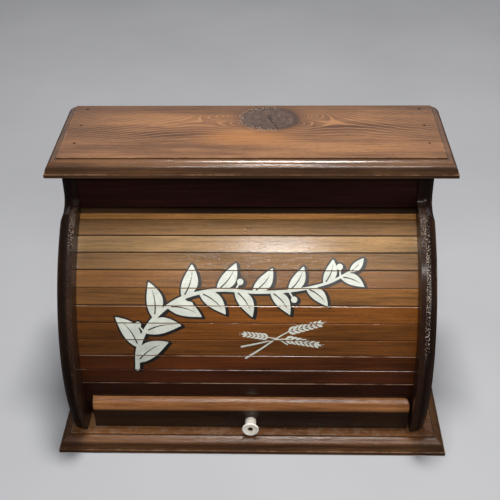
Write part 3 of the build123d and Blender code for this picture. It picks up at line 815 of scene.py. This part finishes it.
def painted(name, distance, x_range, s_range, lift, thickness, material, column=0.8, rows=22):
    """Paint film where distance is negative, one patch for each slat that it crosses.

    Each slat's face is a grid, column millimetres wide for each step; the film's edge
    runs where the distance changes its sign between two points of the grid.
    """
    half = (SLAT_PITCH - SLAT_GAP) / 2 / MM - SLAT_EASE / MM
    columns = int((x_range[1] - x_range[0]) / column) + 1
    xs = x_range[0] + column * np.arange(columns + 1)
    points, faces = [], []
    for index in range(SLAT_COUNT):
        middle = slat_angle(index) * S_PER_DEGREE
        if middle + half < s_range[0] or middle - half > s_range[1]:
            continue
        ups = np.linspace(-half, half, rows + 1)
        grid = np.stack(np.meshgrid(xs, middle + ups, indexing="ij"), axis=-1)
        value = distance(grid)
        value = np.where(np.abs(value) < ON_EDGE, ON_EDGE, value)
        known = {}

        def corner(i, j, k, m):
            """Number of the point on the grid edge from (i, j) to (k, m), or of a corner."""
            key = (i, j, k, m) if (i, j) <= (k, m) else (k, m, i, j)
            if key not in known:
                i, j, k, m = key
                t = 0.0 if (i, j) == (k, m) else value[i, j] / (value[i, j] - value[k, m])
                x = xs[i] + (xs[k] - xs[i]) * t
                up = ups[j] + (ups[m] - ups[j]) * t
                known[key] = len(points)
                points.append(on_slat(index, x * MM, up * MM, SLAT_FACE + lift + thickness))
            return known[key]

        inside = value < 0
        busy = inside[:-1, :-1] | inside[1:, :-1] | inside[:-1, 1:] | inside[1:, 1:]
        for i, j in zip(*np.nonzero(busy)):
            around = [(i, j), (i + 1, j), (i + 1, j + 1), (i, j + 1)]
            loop = []
            for here, after in zip(around, around[1:] + around[:1]):
                if inside[here]:
                    loop.append(corner(*here, *here))
                if inside[here] != inside[after]:
                    loop.append(corner(*here, *after))
            if len(loop) > 2:
                faces.append(loop)
    film = mesh_object(name, points, faces)
    thicken(film, thickness)
    film.data.materials.append(material)
    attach(film, "shutter")


def pointing(angle):
    return np.array([math.cos(angle), math.sin(angle)])


LEAF_COUNT = 15
LEAF_LEAN = math.radians(52)            # from the stem to a leaf
BERRY_LEAN = math.radians(64)           # from the stem to a berry's stalk, on the other side
BERRY_STALK = 11


def leafy_branch():
    """A branch that climbs on the left and runs on to the right, with leaves and berries."""
    drawing = Drawing()
    stem = [(-124, 12), (-121, 40), (-106, 70), (-76, 94), (-36, 104), (6, 102), (46, 104),
            (82, 112), (106, 124)]
    drawing.stroke(stem, 5.0, 2.4, steps=8)
    line = curve_through(stem, 8)
    spans = np.hypot(*np.diff(line, axis=0).T)
    run = np.concatenate([[0], np.cumsum(spans)])

    def along(distance):
        return np.array([np.interp(distance, run, line[:, 0]),
                         np.interp(distance, run, line[:, 1])])

    for k in range(LEAF_COUNT):
        share = 0.03 + 0.93 * k / (LEAF_COUNT - 1)
        at, ahead = along(share * run[-1]), along(share * run[-1] + 2)
        heading = math.atan2(*(ahead - at)[::-1])
        side = 1 if k % 2 else -1
        size = 44 - 17 * share
        tip = at + size * pointing(heading + side * LEAF_LEAN)
        drawing.leaf(at, tip, size * 0.44, bend=-0.10 * side, vein=1.5)
        if k % 3 == 2:
            end = at + BERRY_STALK * pointing(heading - side * BERRY_LEAN)
            drawing.stroke([at, end], 1.8, 1.4, steps=3)
            drawing.dot(end, 3.4)
    drawing.leaf(line[-1], line[-1] + np.array([15, 15]), 9, bend=-0.05, vein=1.0)
    return drawing


def draw_ear(drawing, base, tip, pairs, grain):
    """An ear of wheat: pairs of grains, each up to grain long, a last one, awns and a stalk."""
    base, tip = np.array(base, float), np.array(tip, float)
    axis = (tip - base) / np.linalg.norm(tip - base)
    normal = np.array([-axis[1], axis[0]])
    length = np.linalg.norm(tip - base)
    for k in range(pairs):
        at = base + axis * length * 0.80 * k / (pairs - 1)
        reach = grain * (1.0 - 0.25 * k / pairs)
        for side in (-1, 1):
            end = at + axis * reach * 0.86 + normal * side * reach * 0.50
            drawing.leaf(at + normal * side * 0.5, end, reach * 0.30, bend=0.06 * side)
    drawing.leaf(base + axis * length * 0.80, tip, grain * 0.42)
    for side in (-1, 0, 1):
        awn = [base + axis * length * 0.9, tip + axis * 3.5 + normal * side * 1.9]
        drawing.stroke(awn, 0.5, 0.25, steps=2)
    drawing.stroke([base, base + axis * length * 0.8], 0.8, 0.5, steps=2)


def wheat_ears():
    """Three ears of wheat on crossed stalks."""
    drawing = Drawing()
    draw_ear(drawing, (41, 59), (79, 69), 7, 9.0)
    draw_ear(drawing, (38, 50.5), (76, 43), 7, 9.0)
    draw_ear(drawing, (19, 52.5), (-9, 56), 6, 7.5)
    drawing.stroke([(-5, 27), (12, 39), (28, 51), (41, 59)], 2.2, 1.1)
    drawing.stroke([(-9.5, 41), (8, 45), (24, 49), (38, 50.5)], 2.0, 1.1)
    drawing.stroke([(19, 52.5), (30, 50), (40, 44)], 1.0, 1.4)
    return drawing


branch = leafy_branch()
wheat = wheat_ears()


def outline_of_branch(grid):
    return np.minimum(branch.filled(grid) - OUTLINE,
                      branch.filled(grid - SHADOW) - OUTLINE * 0.7)


white = enamel("white_enamel", tone(182, 187, 178), tone(208, 212, 202), 120)
black = enamel("black_enamel", tone(14, 13, 13), tone(26, 24, 23), 130)
painted("painted_outline", outline_of_branch, (-150, 132), (2, 150), FIRST_COAT, 0.00004, black)
painted("painted_leaves", branch.distance, (-148, 130), (2, 150), SECOND_COAT, 0.00004, white)
painted("painted_wheat", wheat.distance, (-20, 92), (20, 84), FIRST_COAT, 0.00005, white,
        column=0.5, rows=34)


# ---- stage, camera, light ------------------------------------------------------------
def floor():
    corners = [(x * FLOOR_REACH, y * FLOOR_REACH, FLOOR_HEIGHT)
               for x, y in ((-1, -1), (1, -1), (1, 1), (-1, 1))]
    made = mesh_object("floor", corners, [(0, 1, 2, 3)])
    g = Graph("floor")
    cloud = g.noise(g.place, 3.0, 3.0)
    colour = g.ramp(cloud, (0.3, tone(156, 158, 163)), (0.7, tone(164, 166, 171)))
    made.data.materials.append(g.finish(colour, g.add(0.7, g.times(cloud, 0.1))))
    made.visible_glossy = False         # the wood mirrors the dim room, not a bright floor


def camera():
    pitch, yaw, roll = (math.radians(a) for a in (CAMERA_PITCH, CAMERA_YAW, CAMERA_ROLL))
    ahead = Vector((math.sin(yaw) * math.cos(pitch), math.cos(yaw) * math.cos(pitch),
                    -math.sin(pitch)))
    right = Vector((math.cos(yaw), -math.sin(yaw), 0))
    down = ahead.cross(right)
    across = right * math.cos(roll) + down * math.sin(roll)
    below = down * math.cos(roll) - right * math.sin(roll)
    data = bpy.data.cameras.new("camera")
    data.sensor_width = SENSOR_WIDTH
    data.lens = CAMERA_FOCAL * data.sensor_width / PICTURE_WIDTH
    data.clip_start = 0.01
    made = bpy.data.objects.new("camera", data)
    bpy.context.scene.collection.objects.link(made)
    turn = Matrix((across, -below, -ahead)).transposed()
    made.matrix_world = Matrix.Translation(CAMERA_PLACE) @ turn.to_4x4()
    bpy.context.scene.camera = made


def area_light(name, place, target, width, depth, power, colour):
    data = bpy.data.lights.new(name, "AREA")
    data.shape = "RECTANGLE"
    data.size = width
    data.size_y = depth
    data.energy = power
    data.color = colour
    made = bpy.data.objects.new(name, data)
    bpy.context.scene.collection.objects.link(made)
    made.location = place
    made.rotation_mode = "QUATERNION"
    made.rotation_quaternion = (Vector(target) - Vector(place)).to_track_quat("-Z", "Y")


WARM = (1.0, 0.97, 0.93)

floor()
camera()
area_light("overhead", (0.08, 0.24, 2.1), (0.0, 0.0, 0.15), 0.45, 0.34, 44.0, WARM)
area_light("front_high", (0.04, -0.97, 2.02), (0.0, 0.0, 0.2), 0.24, 0.30, 11.0,
           (0.96, 0.98, 1.0))
area_light("front_strip", (0.10, -1.41, 1.565), (0.0, -0.1, 0.06), 0.80, 0.16, 12.0, WARM)
area_light("right_fill", (1.25, -1.20, 0.85), (0.0, 0.0, 0.12), 0.7, 0.7, 8.0,
           (1.0, 0.96, 0.90))
area_light("back_sheen", (0.0, 1.9, 0.9), (0.0, 0.0, 0.35), 3.2, 1.5, 6.0, (0.97, 0.97, 1.0))
world = bpy.data.worlds.new("studio")
world.use_nodes = True
background = world.node_tree.nodes["Background"]
background.inputs["Color"].default_value = (1.0, 0.98, 0.96, 1.0)
background.inputs["Strength"].default_value = 0.045
bpy.context.scene.world = world
bpy.context.scene.view_settings.view_transform = "Standard"
